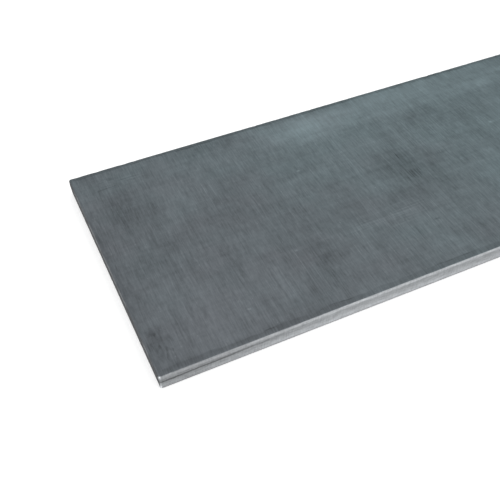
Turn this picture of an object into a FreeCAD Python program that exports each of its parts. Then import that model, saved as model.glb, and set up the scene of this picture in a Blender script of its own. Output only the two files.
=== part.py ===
"""Magnesium alloy sheet: one flat piece of rolled sheet with guillotined edges.

Millimetres. The origin is the centre of the underside, +X runs along the length, +Y across the
width and +Z up through the thickness. A guillotine blade enters at the top face, so each edge has,
from the top down: a shallow roll-over, a rounded lip, a smooth sheared land, a broken band that
leans inwards, and a small eased corner at the underside.
"""

import FreeCAD
import Part

import math
import os

# Overall size of the cut piece.
LENGTH = 300.0
WIDTH = 90.0
THICKNESS = 6.0

# Guillotined edge, the same on all four sides.
ROLL_WIDTH = 2.2  # how far in from the lip the top face starts to droop
ROLL_DEPTH = 0.18  # how much the top face has drooped where the lip starts
LIP_RADIUS = 0.5  # round between the drooped face and the sheared land
LAND_HEIGHT = 2.1  # upright sheared land below the lip
BREAK_LEAN = 0.22  # how far the broken band leans in by the time it reaches the underside
UNDER_EASE = 0.3  # deburred corner along the underside, the same up and in

# Corners of the sheet seen from above.
CORNER_RADIUS = 0.8

NODE = "magnesium_sheet"


def edge_points(half_span):
    """The right-hand edge of a section whose widest point is half_span from the middle.

    Returns the named points as (sideways, up), from the underside to the flat top face. The
    roll-over is an arc tangent to the top face, and the lip is an arc tangent to both the
    roll-over and the upright land.
    """
    roll_radius = (ROLL_WIDTH**2 + ROLL_DEPTH**2) / (2 * ROLL_DEPTH)
    droop = math.asin(ROLL_WIDTH / roll_radius)
    lip_side = half_span - LIP_RADIUS * (1 - math.sin(droop))
    lip_centre = (
        half_span - LIP_RADIUS,
        THICKNESS - ROLL_DEPTH - LIP_RADIUS * math.cos(droop),
    )
    lip_turn = (math.pi / 2 - droop) / 2
    roll_turn = droop / 2
    roll_start = lip_side - ROLL_WIDTH
    return {
        "under_flat": (half_span - BREAK_LEAN - UNDER_EASE, 0.0),
        "break_foot": (half_span - BREAK_LEAN, UNDER_EASE),
        "land_foot": (half_span, lip_centre[1] - LAND_HEIGHT),
        "land_top": (half_span, lip_centre[1]),
        "lip_middle": (
            lip_centre[0] + LIP_RADIUS * math.cos(lip_turn),
            lip_centre[1] + LIP_RADIUS * math.sin(lip_turn),
        ),
        "lip_end": (lip_side, THICKNESS - ROLL_DEPTH),
        "roll_middle": (
            roll_start + roll_radius * math.sin(roll_turn),
            THICKNESS - roll_radius * (1 - math.cos(roll_turn)),
        ),
        "roll_start": (roll_start, THICKNESS),
    }


def section_edges(half_span, place):
    """Lines and arcs of the closed section, each point put into space by place(sideways, up)."""
    right = edge_points(half_span)
    left = {name: (-side, up) for name, (side, up) in right.items()}

    def point(side_points, name):
        return place(*side_points[name])

    def line(start, end):
        return Part.LineSegment(start, end).toShape()

    def arc(side_points, *names):
        return Part.Arc(*(point(side_points, name) for name in names)).toShape()

    edges = [line(point(left, "under_flat"), point(right, "under_flat"))]
    for side in (right, left):
        edges.append(line(point(side, "under_flat"), point(side, "break_foot")))
        edges.append(line(point(side, "break_foot"), point(side, "land_foot")))
        edges.append(line(point(side, "land_foot"), point(side, "land_top")))
        edges.append(arc(side, "land_top", "lip_middle", "lip_end"))
        edges.append(arc(side, "lip_end", "roll_middle", "roll_start"))
    edges.append(line(point(right, "roll_start"), point(left, "roll_start")))
    return edges


def prism(edges, along):
    """A closed outline swept straight along a vector."""
    outline = Part.Wire(Part.__sortEdges__(edges))
    return Part.Face(outline).extrude(along)


def lengthways_prism():
    """The section across the width, carried along the length: shapes the two long edges."""
    edges = section_edges(
        WIDTH / 2, lambda side, up: FreeCAD.Vector(-LENGTH / 2, side, up)
    )
    return prism(edges, FreeCAD.Vector(LENGTH, 0, 0))


def crossways_prism():
    """The section along the length, carried across the width: shapes the two ends."""
    edges = section_edges(
        LENGTH / 2, lambda side, up: FreeCAD.Vector(side, -WIDTH / 2, up)
    )
    return prism(edges, FreeCAD.Vector(0, WIDTH, 0))


def plan_prism():
    """The outline seen from above, with its corners rounded, carried up the thickness."""
    block = Part.makeBox(
        LENGTH, WIDTH, THICKNESS, FreeCAD.Vector(-LENGTH / 2, -WIDTH / 2, 0)
    )
    upright = [edge for edge in block.Edges if edge.BoundBox.ZLength > THICKNESS / 2]
    return block.makeFillet(CORNER_RADIUS, upright)


def magnesium_sheet():
    """What the two sections and the plan outline have in common."""
    both_sections = lengthways_prism().common(crossways_prism())
    return both_sections.common(plan_prism()).Solids[0]


def main():
    sheet = magnesium_sheet()
    os.makedirs("parts", exist_ok=True)
    sheet.exportStep(f"parts/{NODE}.step")
    box = sheet.BoundBox
    print(
        f"{NODE}: valid {sheet.isValid()}, {len(sheet.Faces)} faces, volume {sheet.Volume:.1f} mm3, "
        f"size {box.XLength:.3f} x {box.YLength:.3f} x {box.ZLength:.3f} mm"
    )


main()
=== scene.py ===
import math

import bmesh
import bpy
import numpy as np
from mathutils import Matrix, Vector


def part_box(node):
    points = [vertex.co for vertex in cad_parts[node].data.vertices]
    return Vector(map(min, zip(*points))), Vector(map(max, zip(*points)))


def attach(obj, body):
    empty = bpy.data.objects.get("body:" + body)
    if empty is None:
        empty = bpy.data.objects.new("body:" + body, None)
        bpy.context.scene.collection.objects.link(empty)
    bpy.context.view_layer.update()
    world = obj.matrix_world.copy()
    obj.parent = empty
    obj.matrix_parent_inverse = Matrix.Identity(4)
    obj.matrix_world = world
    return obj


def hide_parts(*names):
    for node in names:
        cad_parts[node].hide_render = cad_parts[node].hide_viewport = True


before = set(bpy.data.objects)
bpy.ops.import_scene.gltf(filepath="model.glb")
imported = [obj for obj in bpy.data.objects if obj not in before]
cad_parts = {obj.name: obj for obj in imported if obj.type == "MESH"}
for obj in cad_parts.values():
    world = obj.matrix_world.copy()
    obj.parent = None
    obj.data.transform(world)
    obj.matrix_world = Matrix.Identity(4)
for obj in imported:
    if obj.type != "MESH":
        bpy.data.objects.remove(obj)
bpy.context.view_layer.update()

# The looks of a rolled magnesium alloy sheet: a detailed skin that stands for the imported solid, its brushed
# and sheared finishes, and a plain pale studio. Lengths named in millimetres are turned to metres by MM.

MM = 0.001
NODE = "magnesium_sheet"

low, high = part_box(NODE)
LENGTH, WIDTH, THICKNESS = (high - low) / MM

# Section of a guillotined edge, from the top face down to the underside.
ROLL_WIDTH = 2.2
ROLL_DEPTH = 0.18
LIP_RADIUS = 0.5
LAND_FOOT = 3.55  # usual height of the foot of the sheared land above the underside
BREAK_LEAN = 0.22
UNDER_EASE = 0.3
CORNER_RADIUS = 0.8

# How finely the skin is divided.
FACE_CELL = 1.5  # side of a wide cell on the flat faces
FINE_PER_CELL = 4
CORNER_STEPS = 6
ROLL_ROWS = 8
LIP_ROWS = 6
LAND_ROWS = 6
BREAK_ROWS = 9
EASE_ROWS = 3
BORDER = 0.6  # flat strip between the roll-over and the first wide cell
MERGE = 0.001  # points closer than this become one

# How uneven the cut is. Places along the front edge are measured from the left end.
SINES = 24  # in each ripple
FOOT_CLIMB = 0.9  # how much higher the foot of the land is past the climb
CLIMB = (8, 50)
TEAR_FADE = (14, 46)
ROUGHNESS = 0.025  # how far the broken band dips in
NICKS = 170  # dents round the lip
NICK_WIDTHS = (0.25, 0.8)
NICK_DEPTHS = (0.02, 0.1)
LIP_MIDDLE = 5.7  # height of the middle of the lip
DENT_REACH = 0.45  # how far up and down the edge a dent spreads
DENT_INNER = (1.4, 0.2)  # how far in it ends, and where it is whole

# What each point of the skin tells the finish: how far it is cut metal, how far in from the outline it lies,
# whether it is on an end, the height of the land's foot there, how torn that foot is, which also sets the
# painted shade along the torn line, and whether it is on a corner, where highlights are painted.
ATTRIBUTES = ("cut", "inset", "end", "foot", "tear", "corner")
FACE_INSET = 10.0


# ---------------------------------------------------------------- the skin


def outline(cells_long, cells_wide):
    """One lap round the sheet, anticlockwise from the front left corner.

    Each sample holds the signs of the corner it leaves, the signs of the corner it goes to, how far along
    it is between the two, and its outward normal. On a corner the two are the same and the normal turns a
    quarter.
    """
    corners = np.array([(-1, -1), (1, -1), (1, 1), (-1, 1)], float)
    normals = np.array([(0, -1), (1, 0), (0, 1), (-1, 0)], float)
    leave, reach, share, facing = [], [], [], []
    for side in range(4):
        after = (side + 1) % 4
        cells = (cells_long if side % 2 == 0 else cells_wide) * FINE_PER_CELL
        along = np.linspace(0, 1, cells + 1)
        leave.append(np.repeat(corners[side][None], cells + 1, 0))
        reach.append(np.repeat(corners[after][None], cells + 1, 0))
        share.append(along)
        facing.append(np.repeat(normals[side][None], cells + 1, 0))
        turn = np.arange(1, CORNER_STEPS) / CORNER_STEPS * math.pi / 2
        leave.append(np.repeat(corners[after][None], len(turn), 0))
        reach.append(np.repeat(corners[after][None], len(turn), 0))
        share.append(np.zeros(len(turn)))
        facing.append(
            np.cos(turn)[:, None] * normals[side]
            + np.sin(turn)[:, None] * normals[after]
        )
    return [np.concatenate(part) for part in (leave, reach, share, facing)]


def place(lap, inset):
    """Plan position of each outline sample moved inwards by inset.

    The outline is a rectangle with rounded corners. Moved in by less than the corner radius, the corner's
    centre stays and its radius shrinks; moved in further, the corner is a sharp mitre that moves in by the
    same amount.
    """
    leave, reach, share, facing = (part[:, None] for part in lap)
    share = share[..., None]
    centre_in = np.maximum(CORNER_RADIUS, inset)[..., None]
    radius = np.maximum(CORNER_RADIUS - inset, 0)[..., None]
    half = np.array([LENGTH / 2, WIDTH / 2])
    start = leave * (half - centre_in)
    end = reach * (half - centre_in)
    return start + (end - start) * share + radius * facing


def ripple(run, lap_length, turns, seed):
    """Sum of sines that each fit a whole number of waves in one lap, with random phases, about -1 to 1."""
    draw = np.random.default_rng(seed)
    waves = draw.integers(turns[0], turns[1], SINES)
    phases = draw.uniform(0, 2 * math.pi, SINES)
    angles = 2 * math.pi * run[..., None] * waves / lap_length + phases
    return np.sin(angles).sum(-1) / math.sqrt(SINES)


def smooth_step(value, start, end):
    """0 below start, 1 above end, and 3t^2 - 2t^3 between."""
    t = np.clip((value - start) / (end - start), 0, 1)
    return t * t * (3 - 2 * t)


def land_foot_height(spot, run, lap_length):
    """Height of the foot of the sheared land: a slow wander and a quick one, and a climb away from the
    front left.
    """
    from_left = spot[:, 0] + LENGTH / 2
    front = spot[:, 1] < -WIDTH / 2 + CORNER_RADIUS
    climb = FOOT_CLIMB * smooth_step(from_left, *CLIMB) * front
    slow = 0.16 * ripple(run, lap_length, turns=(10, 60), seed=3)
    quick = 0.07 * ripple(run, lap_length, turns=(100, 400), seed=4)
    return LAND_FOOT + climb + slow + quick


def tear_strength(spot, run, lap_length):
    """How deep the torn line under the land is, and how dark its painted shade: strong near the front left
    corner, patchy elsewhere.
    """
    from_left = spot[:, 0] + LENGTH / 2
    front = spot[:, 1] < -WIDTH / 2 + CORNER_RADIUS
    patchy = 0.5 * smooth_step(ripple(run, lap_length, turns=(8, 50), seed=21), 0.0, 1.2)
    return np.where(front, np.maximum(1 - smooth_step(from_left, *TEAR_FADE), 0.35 * patchy), patchy)


def lip_nicks(run, lap_length):
    """Depth of the small dents knocked into the lip: a sum of bell curves at random places round the lap.
    """
    draw = np.random.default_rng(12)
    places = draw.uniform(0, lap_length, NICKS)
    widths = draw.uniform(*NICK_WIDTHS, NICKS)
    depths = draw.uniform(*NICK_DEPTHS, NICKS)
    away = np.abs(run[:, None] - places)
    away = np.minimum(away, lap_length - away)
    return (depths * np.exp(-((away / widths) ** 2))).sum(1)


def edge_rows(foot, tear):
    """The section at each outline sample, as inset, height, cutness and brokenness by row.

    The roll-over is an arc tangent to the top face, the lip an arc tangent to the roll-over and to the
    upright land, the land is upright down to its foot, the broken band leans in, and the eased corner is a
    chamfer.
    """
    roll_radius = (ROLL_WIDTH**2 + ROLL_DEPTH**2) / (2 * ROLL_DEPTH)
    droop = math.asin(ROLL_WIDTH / roll_radius)
    roll_inset = LIP_RADIUS * (1 - math.sin(droop)) + ROLL_WIDTH
    lip_height = THICKNESS - ROLL_DEPTH - LIP_RADIUS * math.cos(droop)
    ones = np.ones_like(foot)[:, None]
    foot = foot[:, None]
    tear = tear[:, None]

    turn = droop * np.arange(ROLL_ROWS + 1) / ROLL_ROWS
    parts = [(ones * (roll_inset - roll_radius * np.sin(turn)),
              ones * (THICKNESS - roll_radius * (1 - np.cos(turn))),
              ones * np.linspace(0, 0.35, ROLL_ROWS + 1) ** 2)]
    turn = (math.pi / 2 - droop) * (1 - np.arange(1, LIP_ROWS + 1) / LIP_ROWS)
    parts.append((ones * LIP_RADIUS * (1 - np.cos(turn)),
                  ones * (lip_height + LIP_RADIUS * np.sin(turn)),
                  ones * np.linspace(0.4, 1, LIP_ROWS)))
    down = np.arange(1, LAND_ROWS + 1) / LAND_ROWS
    parts.append((ones * 0 * down, lip_height + (foot - lip_height) * down, ones * np.ones(LAND_ROWS)))
    down = np.arange(1, BREAK_ROWS + 1) / BREAK_ROWS
    ledge = (0.03 + 0.07 * tear) * (1 - down) ** 2
    parts.append((ones * (BREAK_LEAN * down + ledge),
                  foot + (UNDER_EASE - foot) * down**1.3,
                  ones * np.ones(BREAK_ROWS)))
    down = np.arange(1, EASE_ROWS + 1) / EASE_ROWS
    parts.append((ones * (BREAK_LEAN + UNDER_EASE * down),
                  ones * UNDER_EASE * (1 - down),
                  ones * np.ones(EASE_ROWS)))
    inset, height, cut = (np.concatenate([part[i] for part in parts], 1) for i in range(3))
    above_break = 1 + ROLL_ROWS + LIP_ROWS + LAND_ROWS
    row = np.arange(inset.shape[1])
    broken = ones * (row >= above_break)
    return inset, height, cut, broken


def grid_faces(first, columns, rows):
    """Quads of a grid of columns by rows points numbered along each row from first."""
    row, column = np.meshgrid(np.arange(rows - 1), np.arange(columns - 1), indexing="ij")
    corner = (first + row * columns + column).ravel()
    return np.stack([corner, corner + 1, corner + columns + 1, corner + columns], 1)


def joining_faces(fine, wide):
    """Flat faces between a finely divided border and the wide cells inside it, one to each wide cell."""
    fine_index = np.arange(len(wide) - 1)[:, None] * FINE_PER_CELL + np.arange(FINE_PER_CELL + 1)
    return np.concatenate([wide[1:, None], wide[:-1, None], fine[fine_index]], 1)


def worn_section(run, lap_length, foot, tear):
    """The section with its broken band made uneven and its lip dented; a dent fades inwards and down the
    edge.
    """
    inset, height, cut, broken = edge_rows(foot, tear)
    rough = np.abs(ripple(run[:, None] + 1.7 * height, lap_length, turns=(150, 900), seed=8))
    inset = inset + ROUGHNESS * broken * rough * (height > 0)
    dented = lip_nicks(run, lap_length)[:, None] * np.exp(-(((height - LIP_MIDDLE) / DENT_REACH) ** 2))
    dented = dented * smooth_step(inset, *DENT_INNER)
    inset = inset + dented
    height = height - dented * (height > LIP_MIDDLE)
    return inset, height, cut


def with_flat_strips(inset, height, cut):
    """The section with a flat strip added inside the roll-over and another inside the eased corner."""
    inset = np.concatenate([inset[:, :1] + BORDER, inset, inset[:, -1:] + BORDER], 1)
    height = np.concatenate([height[:, :1], height, height[:, -1:]], 1)
    cut = np.concatenate([cut[:, :1], cut, cut[:, -1:] * 0], 1)
    return inset, height, cut


def flat_face(is_top, strip, border, first, cells_long, cells_wide):
    """Points and faces of one flat face: a grid of wide cells, joined all round to the finely divided
    border.
    """
    x = np.linspace(-LENGTH / 2 + strip, LENGTH / 2 - strip, cells_long + 1)
    y = np.linspace(-WIDTH / 2 + strip, WIDTH / 2 - strip, cells_wide + 1)
    grid_x, grid_y = np.meshgrid(x, y)
    level = THICKNESS if is_top else 0.0
    points = np.stack([grid_x.ravel(), grid_y.ravel(), np.full(grid_x.size, level)], 1)
    numbers = first + np.arange(grid_x.size).reshape(grid_x.shape)
    faces = []
    start = 0
    for wide in (numbers[0, :], numbers[:, -1], numbers[-1, ::-1], numbers[::-1, 0]):
        fine_cells = (len(wide) - 1) * FINE_PER_CELL
        faces.append(joining_faces(border[start:start + fine_cells + 1], wide))
        start += fine_cells + CORNER_STEPS
    faces.append(grid_faces(first, cells_long + 1, cells_wide + 1))
    return points, [(part if is_top else part[:, ::-1]).tolist() for part in faces]


def closed_mesh(name, points, faces, values):
    """A mesh of these points, in millimetres, with its attributes, doubles merged and faces turned
    outwards.
    """
    mesh = bpy.data.meshes.new(name)
    mesh.from_pydata((points * MM).tolist(), [], faces)
    for index, attribute_name in enumerate(ATTRIBUTES):
        attribute = mesh.attributes.new(attribute_name, "FLOAT", "POINT")
        attribute.data.foreach_set("value", values[:, index].astype(np.float32))
    shell = bmesh.new()
    shell.from_mesh(mesh)
    bmesh.ops.remove_doubles(shell, verts=shell.verts, dist=MERGE * MM)
    bmesh.ops.recalc_face_normals(shell, faces=shell.faces)
    shell.to_mesh(mesh)
    shell.free()
    mesh.shade_smooth()
    return mesh


def sheet_skin():
    """The whole sheet as one closed mesh: edge bands carried round the outline, and two gridded faces."""
    cells_long = round(LENGTH / FACE_CELL)
    cells_wide = round(WIDTH / FACE_CELL)
    lap = outline(cells_long, cells_wide)
    spot = place(lap, np.zeros((len(lap[0]), 1)))[:, 0]
    steps = np.linalg.norm(np.diff(spot, axis=0, append=spot[:1]), axis=1)
    lap_length = steps.sum()
    run = np.concatenate([[0], np.cumsum(steps)[:-1]])
    foot = land_foot_height(spot, run, lap_length)
    tear = tear_strength(spot, run, lap_length)
    inset, height, cut = with_flat_strips(*worn_section(run, lap_length, foot, tear))

    band = np.concatenate([place(lap, inset), height[..., None]], 2)
    count, rows = height.shape
    order = np.arange(count * rows).reshape(count, rows)
    ring = np.concatenate([order, order[:1]], 0)
    quads = np.stack([ring[:-1, :-1], ring[:-1, 1:], ring[1:, 1:], ring[1:, :-1]], -1).reshape(-1, 4)

    facing = lap[3]
    on_end = np.abs(facing[:, 0]) ** 4
    corner = 2 * np.abs(facing[:, 0] * facing[:, 1])
    by_sample = [np.broadcast_to(part[:, None], cut.shape) for part in (on_end, foot, tear, corner)]
    points = [band.reshape(-1, 3)]
    faces = [quads.tolist()]
    values = [np.stack([cut, inset, *by_sample], -1).reshape(-1, len(ATTRIBUTES))]
    first = count * rows
    for is_top in (True, False):
        row = 0 if is_top else -1
        strip = inset[0, row] + BORDER * 2
        face_points, face_lists = flat_face(is_top, strip, ring[:, row], first, cells_long, cells_wide)
        points.append(face_points)
        faces.extend(face_lists)
        plain = np.zeros((len(face_points), len(ATTRIBUTES)))
        plain[:, ATTRIBUTES.index("inset")] = FACE_INSET
        values.append(plain)
        first += len(face_points)

    every_face = [face for part in faces for face in part]
    mesh = closed_mesh("sheet_skin", np.concatenate(points), every_face, np.concatenate(values))
    piece = bpy.data.objects.new("sheet_skin", mesh)
    bpy.context.scene.collection.objects.link(piece)
    return piece


# ---------------------------------------------------------------- finishes

NOISE_ROUGHNESS = 0.55
PATCH_UNEVEN = 1.4  # how far noise moves a patch's rim, in half sizes


class Nodes:
    """Short calls that add shader nodes to one material or world and join them up."""

    def __init__(self, owner):
        owner.use_nodes = True
        self.owner = owner
        self.tree = owner.node_tree
        self.tree.nodes.clear()

    def add(self, kind, inputs=None, **settings):
        """A node of a kind, with its settings and what goes into each of its sockets."""
        node = self.tree.nodes.new(kind)
        for key, value in settings.items():
            setattr(node, key, value)
        for key, value in (inputs or {}).items():
            self.put(node.inputs[key], value)
        return node

    def put(self, socket, value):
        """Join an output to a socket, or set the socket to a plain value."""
        if isinstance(value, bpy.types.NodeSocket):
            self.tree.links.new(value, socket)
        else:
            socket.default_value = value

    def sum(self, operation, *values):
        """The result of one arithmetic operation."""
        node = self.add("ShaderNodeMath", operation=operation)
        for socket, value in zip(node.inputs, values):
            self.put(socket, value)
        return node.outputs[0]

    def span(self, value, low, high, to_low=0.0, to_high=1.0):
        """A smooth step from to_low at low to to_high at high, level outside them."""
        node = self.add("ShaderNodeMapRange", {"Value": value, "From Min": low, "From Max": high,
                                               "To Min": to_low, "To Max": to_high},
                        interpolation_type="SMOOTHSTEP")
        return node.outputs[0]

    def between(self, factor, first, second):
        """A number that goes from first to second as factor goes from 0 to 1."""
        node = self.add("ShaderNodeMix", {"Factor": factor, "A": first, "B": second}, data_type="FLOAT")
        return node.outputs["Result"]

    def mix(self, factor, first, second, blend="MIX"):
        """A colour that goes from first to second, or is blended with it."""
        node = self.add("ShaderNodeMix", data_type="RGBA", blend_type=blend)
        self.put(node.inputs["Factor"], factor)
        self.put(node.inputs["A"], first)
        self.put(node.inputs["B"], second)
        return node.outputs["Result"]

    def attribute(self, name):
        """What the skin's points hold under a name."""
        return self.add("ShaderNodeAttribute", attribute_name=name).outputs["Fac"]

    def place(self):
        """Object coordinates in millimetres."""
        found = self.add("ShaderNodeTexCoord").outputs["Object"]
        node = self.add("ShaderNodeMapping", {"Vector": found, "Scale": (1 / MM,) * 3})
        return node.outputs[0]

    def noise(self, where, size, detail=2.0, shift=(0, 0, 0)):
        """Noise whose lumps are about size (x, y, z) millimetres, from 0 to 1 about a half."""
        scale = tuple(1 / edge for edge in size)
        node = self.add("ShaderNodeMapping", {"Vector": where, "Scale": scale, "Location": shift})
        noise = self.add("ShaderNodeTexNoise", {"Vector": node.outputs[0], "Scale": 1.0, "Detail": detail,
                                                "Roughness": NOISE_ROUGHNESS})
        return noise.outputs["Fac"]


def soft_patch(nodes, where, patch):
    """1 in the middle of an oval on the face, falling softly to 0 at its rim, with the rim made uneven by
    noise.
    """
    (from_left, from_front), (half_long, half_wide) = patch
    centre = (from_left - LENGTH / 2, from_front - WIDTH / 2, 0)
    moved = nodes.add("ShaderNodeVectorMath", {0: where, 1: centre}, operation="SUBTRACT").outputs[0]
    scaled = nodes.add("ShaderNodeVectorMath", {0: moved, 1: (1 / half_long, 1 / half_wide, 0)},
                       operation="MULTIPLY").outputs[0]
    away = nodes.add("ShaderNodeVectorMath", {0: scaled}, operation="LENGTH").outputs["Value"]
    uneven = nodes.noise(where, (half_long * 0.5, half_wide * 0.5, 5), 3.0)
    uneven = nodes.sum("MULTIPLY", nodes.sum("SUBTRACT", uneven, 0.5), PATCH_UNEVEN)
    away = nodes.sum("ADD", away, uneven)
    return nodes.span(away, 0.1, 1.05, 1.0, 0.0)


# Lighter (+) and darker (-) places on the top face: middle (from the left end, from the front edge), half
# sizes, gain.
MARKS_AND_SHEEN = (
    # The first three places, lighter and towards the back, are a painted sheen.
    (((122, 81), (74, 11)), 0.22),
    (((90, 80), (25, 11)), 0.32),
    (((92, 60), (22, 13)), 0.1),
    (((108, 44), (19, 18)), -0.16),
    (((63, 17), (13, 11)), -0.13),
    (((64, 20), (4, 6)), -0.1),
    (((13, 64), (14, 17)), -0.12),
    (((14, 72), (6, 6)), -0.09),
    (((10, 38), (13, 13)), -0.07),
    (((87, 26), (15, 2.4)), 0.14),
    (((27, 14), (30, 14)), 0.12),
    (((4, 11), (4, 9)), -0.2),
    (((1.5, 82), (2.4, 12)), 0.2),
    (((164, 76), (4, 3)), 0.2),
    (((73.4, 59.6), (1.1, 0.9)), 0.4),
    (((55.4, 26), (0.9, 0.7)), 0.3),
    (((32, 11), (1.0, 0.7)), 0.3),
    (((103, 19), (2.0, 0.6)), -0.3),
    (((151, 53.6), (1.0, 0.8)), 0.35),
)

# Clusters of short strokes: size of one stroke, the patch that holds them, gain.
STROKES = (
    ((0.5, 9, 3), ((109.5, 45), (6, 10)), -0.34),
    ((7, 0.6, 3), ((13, 82), (12, 5)), -0.3),
    ((1.5, 3.5, 3), ((5, 10), (6, 10)), -0.26),
    ((12, 0.6, 3), ((94, 27), (26, 9)), 0.12),
)

# Long light scratches and light specks, scattered all over.
SCRATCH_SIZE = (0.5, 45, 3)
SCRATCH_GAIN = 0.22
SPECK_SIZE = (0.45, 0.8, 3)
SPECK_GAIN = 0.3

# Layers of the brushed grain: lump size along, across and up the sheet, detail, shift, gain.
GRAIN = {
    "fine lines": ((0.42, 3.6, 3), 2.0, (0, 0, 0), 0.5),
    "strokes": ((0.6, 8, 3), 2.0, (3, 6, 0), 0.5),
    "hairs": ((0.8, 24, 3), 2.0, (7, 0, 0), 0.38),
    "bands": ((2.6, 50, 3), 2.0, (4, 1, 0), 0.3),
    "broad bands": ((7, 60, 3), 2.0, (6, 6, 0), 0.26),
    "grit": ((1.1, 1.3, 3), 2.0, (1, 4, 0), 0.26),
    "mottle": ((3.0, 4, 3), 2.0, (5, 2, 0), 0.22),
    "blotches": ((8, 9, 9), 2.0, (5, 2, 3), 0.34),
    "clouds": ((26, 20, 20), 2.0, (2, 5, 0), 0.28),
    "drag streaks": ((60, 2.0, 3), 2.0, (0, 3, 0), 0.2),
    "drag lines": ((9, 0.5, 3), 1.0, (3, 3, 0), 0.1),
}


def brush_grain(nodes, where):
    """Brightness of the brushed grain about 1, the sum of its layers, with its finest lines and its hairs.
    """
    layers = {}
    bright = 1.0
    for name, (size, detail, shift, gain) in GRAIN.items():
        layers[name] = nodes.noise(where, size, detail, shift)
        bright = nodes.sum("MULTIPLY_ADD", nodes.sum("SUBTRACT", layers[name], 0.5), gain, bright)
    return bright, layers["fine lines"], layers["hairs"]


def handling_marks_and_sheen(nodes, where):
    """Brightness added on the top face by stains, rubs, strokes, specks, a few long light scratches, and a
    painted sheen towards the back.
    """
    added = 0.0
    for patch, gain in MARKS_AND_SHEEN:
        added = nodes.sum("MULTIPLY_ADD", soft_patch(nodes, where, patch), gain, added)
    for size, patch, gain in STROKES:
        peaks = nodes.span(nodes.noise(where, size, 0.0, (2, 9, 0)), 0.56, 0.68)
        peaks = nodes.sum("MULTIPLY", peaks, soft_patch(nodes, where, patch))
        added = nodes.sum("MULTIPLY_ADD", peaks, gain, added)
    scratches = nodes.span(nodes.noise(where, SCRATCH_SIZE, 0.0, (5, 5, 0)), 0.78, 0.84)
    added = nodes.sum("MULTIPLY_ADD", scratches, SCRATCH_GAIN, added)
    specks = nodes.span(nodes.noise(where, SPECK_SIZE, 0.0, (9, 9, 0)), 0.79, 0.85)
    added = nodes.sum("MULTIPLY_ADD", specks, SPECK_GAIN, added)
    height = nodes.add("ShaderNodeSeparateXYZ", {"Vector": where}).outputs["Z"]
    return nodes.sum("MULTIPLY", added, nodes.span(height, 4, 5))


# The dark strip over the roll-over, and its ends' share less.
STRIP_LEAST = 0.5
STRIP_WANDER = 2.6
STRIP_DARK = 0.17
STRIP_LESS_AT_ENDS = 0.11
CREASE_WIDTH = 0.34
CREASE_DARK = (0.03, 0.34)
CREASE_LESS_AT_ENDS = 0.6

FACE_GREY = (0.127, 0.139, 0.151, 1)  # towards the front left
FACE_TEAL = (0.146, 0.187, 0.199, 1)  # towards the back right
GREY_TO_TEAL = (-115, 120)  # along the diagonal, after the drift
TEAL_DRIFT = 160


def rim_shade(nodes, where):
    """Darkening over the roll-over: a strip with a wandering inner border, deepest on it where it is
    creased.
    """
    inset = nodes.attribute("inset")
    end = nodes.attribute("end")
    wander = nodes.noise(where, (11, 11, 11), 5.0, (1, 1, 1))
    past_border = nodes.sum("SUBTRACT", inset, nodes.sum("MULTIPLY_ADD", wander, STRIP_WANDER, STRIP_LEAST))
    strip = nodes.span(past_border, 0.45, -0.35)
    strip = nodes.sum("MULTIPLY", strip, nodes.sum("MULTIPLY_ADD", end, -STRIP_LESS_AT_ENDS, STRIP_DARK))
    creased = nodes.span(nodes.noise(where, (8, 8, 8), 3.0, (4, 2, 0)), 0.46, 0.66, *CREASE_DARK)
    creased = nodes.sum("MULTIPLY", creased, nodes.sum("MULTIPLY_ADD", end, -CREASE_LESS_AT_ENDS, 1.0))
    crease = nodes.span(nodes.sum("ABSOLUTE", past_border), CREASE_WIDTH, 0.0)
    crease = nodes.sum("MULTIPLY", crease, creased)
    return nodes.sum("MULTIPLY_ADD", nodes.sum("ADD", strip, crease), -1.0, 1.0)


def brushed_face(nodes, where):
    """Colour, height and roughness of the brushed faces."""
    bright, fine, hairs = brush_grain(nodes, where)
    bright = nodes.sum("ADD", bright, handling_marks_and_sheen(nodes, where))
    bright = nodes.sum("MULTIPLY", bright, rim_shade(nodes, where))
    apart = nodes.add("ShaderNodeSeparateXYZ", {"Vector": where})
    drift = nodes.noise(where, (24, 16, 16), 2.0, (9, 1, 0))
    diagonal = nodes.sum("ADD", apart.outputs["X"], apart.outputs["Y"])
    along = nodes.sum("MULTIPLY_ADD", drift, TEAL_DRIFT, diagonal)
    colour = nodes.mix(nodes.span(along, *GREY_TO_TEAL), FACE_GREY, FACE_TEAL)
    grey = nodes.add("ShaderNodeCombineColor", {0: bright, 1: bright, 2: bright}).outputs[0]
    return nodes.mix(1.0, colour, grey, "MULTIPLY"), fine, nodes.span(hairs, 0.3, 0.7, 0.38, 0.48)


# Tones of the sheared edge, from the underside up.
BREAK_TONES = (0.48, 0.35)  # low on the broken band, and at its top
FOOT_TONE = 0.325
LIP_TONE = 0.42
LEFT_DULL = 0.28  # how much duller the left end of the front edge is
LEFT_DULL_REACH = 60
TORN_SHADE = 0.55
# Painted highlights on the rounded corners, stronger near the top and the bottom of the edge.
CORNER_GLINT = 0.4
TIP_GLINT = 0.8
EDGE_TINT = (0.965, 1.03)  # red and blue, next to green
# Painted shade on the ends: the edge colour there is multiplied by this.
END_SHADE = (0.42, 0.42, 0.42, 1)
END_ROUGHNESS = 0.7


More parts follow.
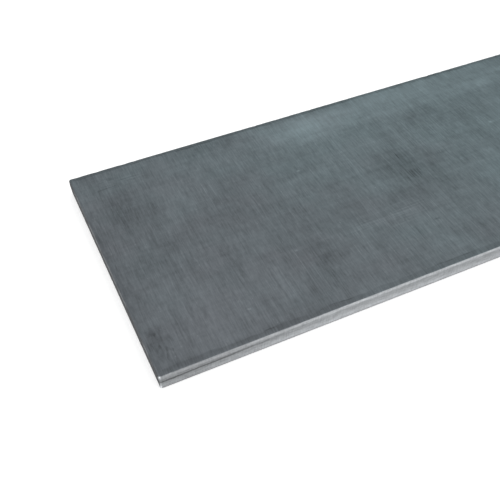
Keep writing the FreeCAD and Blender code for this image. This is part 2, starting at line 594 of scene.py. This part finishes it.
def sheared_edge(nodes, where):
    """Colour, height and roughness of the sheared land and the broken band.

    The tone follows the height up the edge: painted shade in the eased corner, palest low on the broken band,
    dullest at the foot of the land, and pale again over the lip. Painted shade runs along the torn line at
    the foot, and highlights are painted on the corners.
    """
    apart = nodes.add("ShaderNodeSeparateXYZ", {"Vector": where})
    height = apart.outputs["Z"]
    under_foot = nodes.sum("SUBTRACT", nodes.attribute("foot"), height)
    grain = nodes.noise(where, (0.4, 0.4, 3), 2.0, (3, 1, 0))
    patch = nodes.noise(where, (3.5, 3.5, 0.5), 3.0)
    tone = nodes.span(height, 0.9, 3.6, *BREAK_TONES)
    tone = nodes.between(nodes.span(under_foot, 0.15, -0.5), tone, FOOT_TONE)
    tone = nodes.between(nodes.span(height, 4.4, 5.1), tone, LIP_TONE)
    past_left = nodes.span(apart.outputs["X"], -LENGTH / 2, LEFT_DULL_REACH - LENGTH / 2)
    tone = nodes.sum("MULTIPLY", tone, nodes.sum("MULTIPLY_ADD", past_left, LEFT_DULL, 1 - LEFT_DULL))
    # Painted shade along the torn line, under the ledge at the foot of the land.
    torn = nodes.sum("MULTIPLY", nodes.span(under_foot, -0.45, 0.0), nodes.span(under_foot, 0.7, 0.15))
    torn = nodes.sum("MULTIPLY", torn, nodes.attribute("tear"))
    tone = nodes.sum("MULTIPLY", tone, nodes.sum("MULTIPLY_ADD", torn, -TORN_SHADE, 1.0))
    # Painted highlights on the corners, strongest at the lip and low on the broken band.
    tips = nodes.sum("ADD", nodes.span(height, 4.6, 5.4), nodes.span(height, 1.6, 0.6, 0.0, 2.0))
    glint = nodes.sum("MULTIPLY_ADD", tips, TIP_GLINT, CORNER_GLINT)
    glint = nodes.sum("MULTIPLY", nodes.attribute("corner"), glint)
    tone = nodes.sum("MULTIPLY", tone, nodes.sum("ADD", glint, 1.0))
    # Painted shade in the eased corner along the underside.
    tone = nodes.sum("MULTIPLY", tone, nodes.span(height, 0.1, 0.45, 0.1, 1.0))
    uneven = nodes.sum("MULTIPLY_ADD", nodes.sum("SUBTRACT", grain, 0.5), 0.6, 1.0)
    uneven = nodes.sum("MULTIPLY_ADD", nodes.sum("SUBTRACT", patch, 0.5), 0.75, uneven)
    tone = nodes.sum("MULTIPLY", tone, uneven)
    red = nodes.sum("MULTIPLY", tone, EDGE_TINT[0])
    blue = nodes.sum("MULTIPLY", tone, EDGE_TINT[1])
    colour = nodes.add("ShaderNodeCombineColor", {0: red, 1: tone, 2: blue}).outputs[0]
    return colour, grain, nodes.span(patch, 0.3, 0.7, 0.42, 0.32)


def shaded_ends(nodes, where):
    """How far the edge takes the ends' rougher finish and painted shade: all of it, but for stretches of its
    lip left light as painted highlights.
    """
    height = nodes.add("ShaderNodeSeparateXYZ", {"Vector": where}).outputs["Z"]
    lit_lip = nodes.span(nodes.noise(where, (4, 9, 4), 1.0, (6, 6, 0)), 0.42, 0.6)
    lit_lip = nodes.sum("MULTIPLY", lit_lip, nodes.span(height, 5.2, 5.6))
    return nodes.sum("MULTIPLY", nodes.attribute("end"), nodes.sum("MULTIPLY_ADD", lit_lip, -0.6, 1.0))


def magnesium_finish():
    """Dark brushed faces that turn to bright sheared metal over the lip, and rougher ends with painted shade.
    """
    nodes = Nodes(bpy.data.materials.new("magnesium_finish"))
    where = nodes.place()
    face_colour, face_height, face_roughness = brushed_face(nodes, where)
    edge_colour, edge_height, edge_roughness = sheared_edge(nodes, where)
    cutness = nodes.span(nodes.attribute("cut"), 0.3, 0.75)
    end = shaded_ends(nodes, where)
    # Painted shade on the ends, lifted on stretches of the lip that are left light as painted highlights.
    dull = nodes.mix(1.0, edge_colour, END_SHADE, "MULTIPLY")
    edge_colour = nodes.mix(end, edge_colour, dull)
    edge_roughness = nodes.between(end, edge_roughness, END_ROUGHNESS)
    colour = nodes.mix(cutness, face_colour, edge_colour)
    height = nodes.between(cutness, face_height, edge_height)
    roughness = nodes.between(cutness, face_roughness, edge_roughness)
    bump = nodes.add("ShaderNodeBump", {"Height": height, "Strength": 0.3, "Distance": 0.02 * MM})
    shader = nodes.add("ShaderNodeBsdfPrincipled", {
        "Base Color": colour,
        "Metallic": 1.0,
        "Roughness": roughness,
        "Specular Tint": (0.45, 0.45, 0.45, 1),
        "Normal": bump.outputs[0],
    })
    out = nodes.add("ShaderNodeOutputMaterial")
    nodes.tree.links.new(shader.outputs[0], out.inputs["Surface"])
    return nodes.owner


# ---------------------------------------------------------------- studio

CAMERA_AT = (-173.6, -157.6, 172.6)  # millimetres
CAMERA_HEADING = 24.439  # degrees from +Y towards +X
CAMERA_DOWN = 46.297  # degrees below level
CAMERA_ROLL = -0.815
CAMERA_LENS = 53.18
SENSOR = 36.0
WORLD_LIGHT = 0.8
BOX_SIZE = 1.2  # metres, as the lamps' places are
KEY_AT = (-0.9, -0.9, 1.3)
KEY_POWER = 14
FILL_AT = (1.0, -0.9, 1.3)
FILL_POWER = 5
FLOOR_REACH = 3.0
FLOOR_GAP = 0.02  # millimetres under the sheet
FLOOR_PALE = (0.9, 0.9, 0.9, 1)
FLOOR_GLOW = 0.22


def camera():
    """A camera at CAMERA_AT that looks along its heading and down, rolled about its line of sight."""
    heading, down, roll = (math.radians(a) for a in (CAMERA_HEADING, CAMERA_DOWN, CAMERA_ROLL))
    ahead = Vector((math.sin(heading) * math.cos(down), math.cos(heading) * math.cos(down), -math.sin(down)))
    right = Vector((math.cos(heading), -math.sin(heading), 0))
    up = right.cross(ahead)
    right, up = right * math.cos(roll) + up * math.sin(roll), up * math.cos(roll) - right * math.sin(roll)
    data = bpy.data.cameras.new("camera")
    data.lens = CAMERA_LENS
    data.sensor_width = SENSOR
    data.clip_start = 0.01
    holder = bpy.data.objects.new("camera", data)
    turned = Matrix((right, up, -ahead)).transposed().to_4x4()
    turned.translation = Vector(CAMERA_AT) * MM
    holder.matrix_world = turned
    bpy.context.scene.collection.objects.link(holder)
    bpy.context.scene.camera = holder


def softbox(name, at, power):
    """A square area lamp at a place in metres, aimed at the middle of the sheet."""
    data = bpy.data.lights.new(name, "AREA")
    data.energy = power
    data.size = BOX_SIZE
    lamp = bpy.data.objects.new(name, data)
    lamp.location = at
    lamp.rotation_euler = (-Vector(at)).to_track_quat("-Z", "Y").to_euler()
    bpy.context.scene.collection.objects.link(lamp)


def seen_rays(nodes):
    """1 on the rays of the camera, of reflections and through clear things, 0 on those that only carry
    light.
    """
    path = nodes.add("ShaderNodeLightPath")
    return nodes.sum("MAXIMUM", path.outputs["Is Camera Ray"],
                     nodes.sum("MAXIMUM", path.outputs["Is Glossy Ray"], path.outputs["Is Transmission Ray"]))


def pale_world():
    """Even white light from all round, full white where it is seen."""
    world = bpy.data.worlds.new("studio")
    nodes = Nodes(world)
    strength = nodes.sum("MULTIPLY_ADD", seen_rays(nodes), 1 - WORLD_LIGHT, WORLD_LIGHT)
    background = nodes.add("ShaderNodeBackground", {"Color": (1, 1, 1, 1), "Strength": strength})
    out = nodes.add("ShaderNodeOutputWorld")
    nodes.tree.links.new(background.outputs[0], out.inputs["Surface"])
    bpy.context.scene.world = world


def floor():
    """A wide pale floor just under the sheet, lifted to white where the camera and reflections see it."""
    signs = ((-1, -1), (1, -1), (1, 1), (-1, 1))
    corners = [(FLOOR_REACH * along, FLOOR_REACH * across, -FLOOR_GAP * MM) for along, across in signs]
    mesh = bpy.data.meshes.new("floor")
    mesh.from_pydata(corners, [], [(0, 1, 2, 3)])
    piece = bpy.data.objects.new("floor", mesh)
    bpy.context.scene.collection.objects.link(piece)
    nodes = Nodes(bpy.data.materials.new("pale_floor"))
    matt = nodes.add("ShaderNodeBsdfDiffuse", {"Color": FLOOR_PALE})
    strength = nodes.sum("MULTIPLY", seen_rays(nodes), FLOOR_GLOW)
    glow = nodes.add("ShaderNodeEmission", {"Color": (1, 1, 1, 1), "Strength": strength})
    both = nodes.add("ShaderNodeAddShader")
    nodes.tree.links.new(matt.outputs[0], both.inputs[0])
    nodes.tree.links.new(glow.outputs[0], both.inputs[1])
    out = nodes.add("ShaderNodeOutputMaterial")
    nodes.tree.links.new(both.outputs[0], out.inputs["Surface"])
    mesh.materials.append(nodes.owner)


def studio():
    """The light, the floor and the camera round the sheet."""
    pale_world()
    bpy.context.scene.view_settings.view_transform = "Standard"
    softbox("key", KEY_AT, KEY_POWER)
    softbox("fill", FILL_AT, FILL_POWER)
    floor()
    camera()


skin = sheet_skin()
skin.data.materials.append(magnesium_finish())
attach(skin, "root")
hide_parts(NODE)
studio()
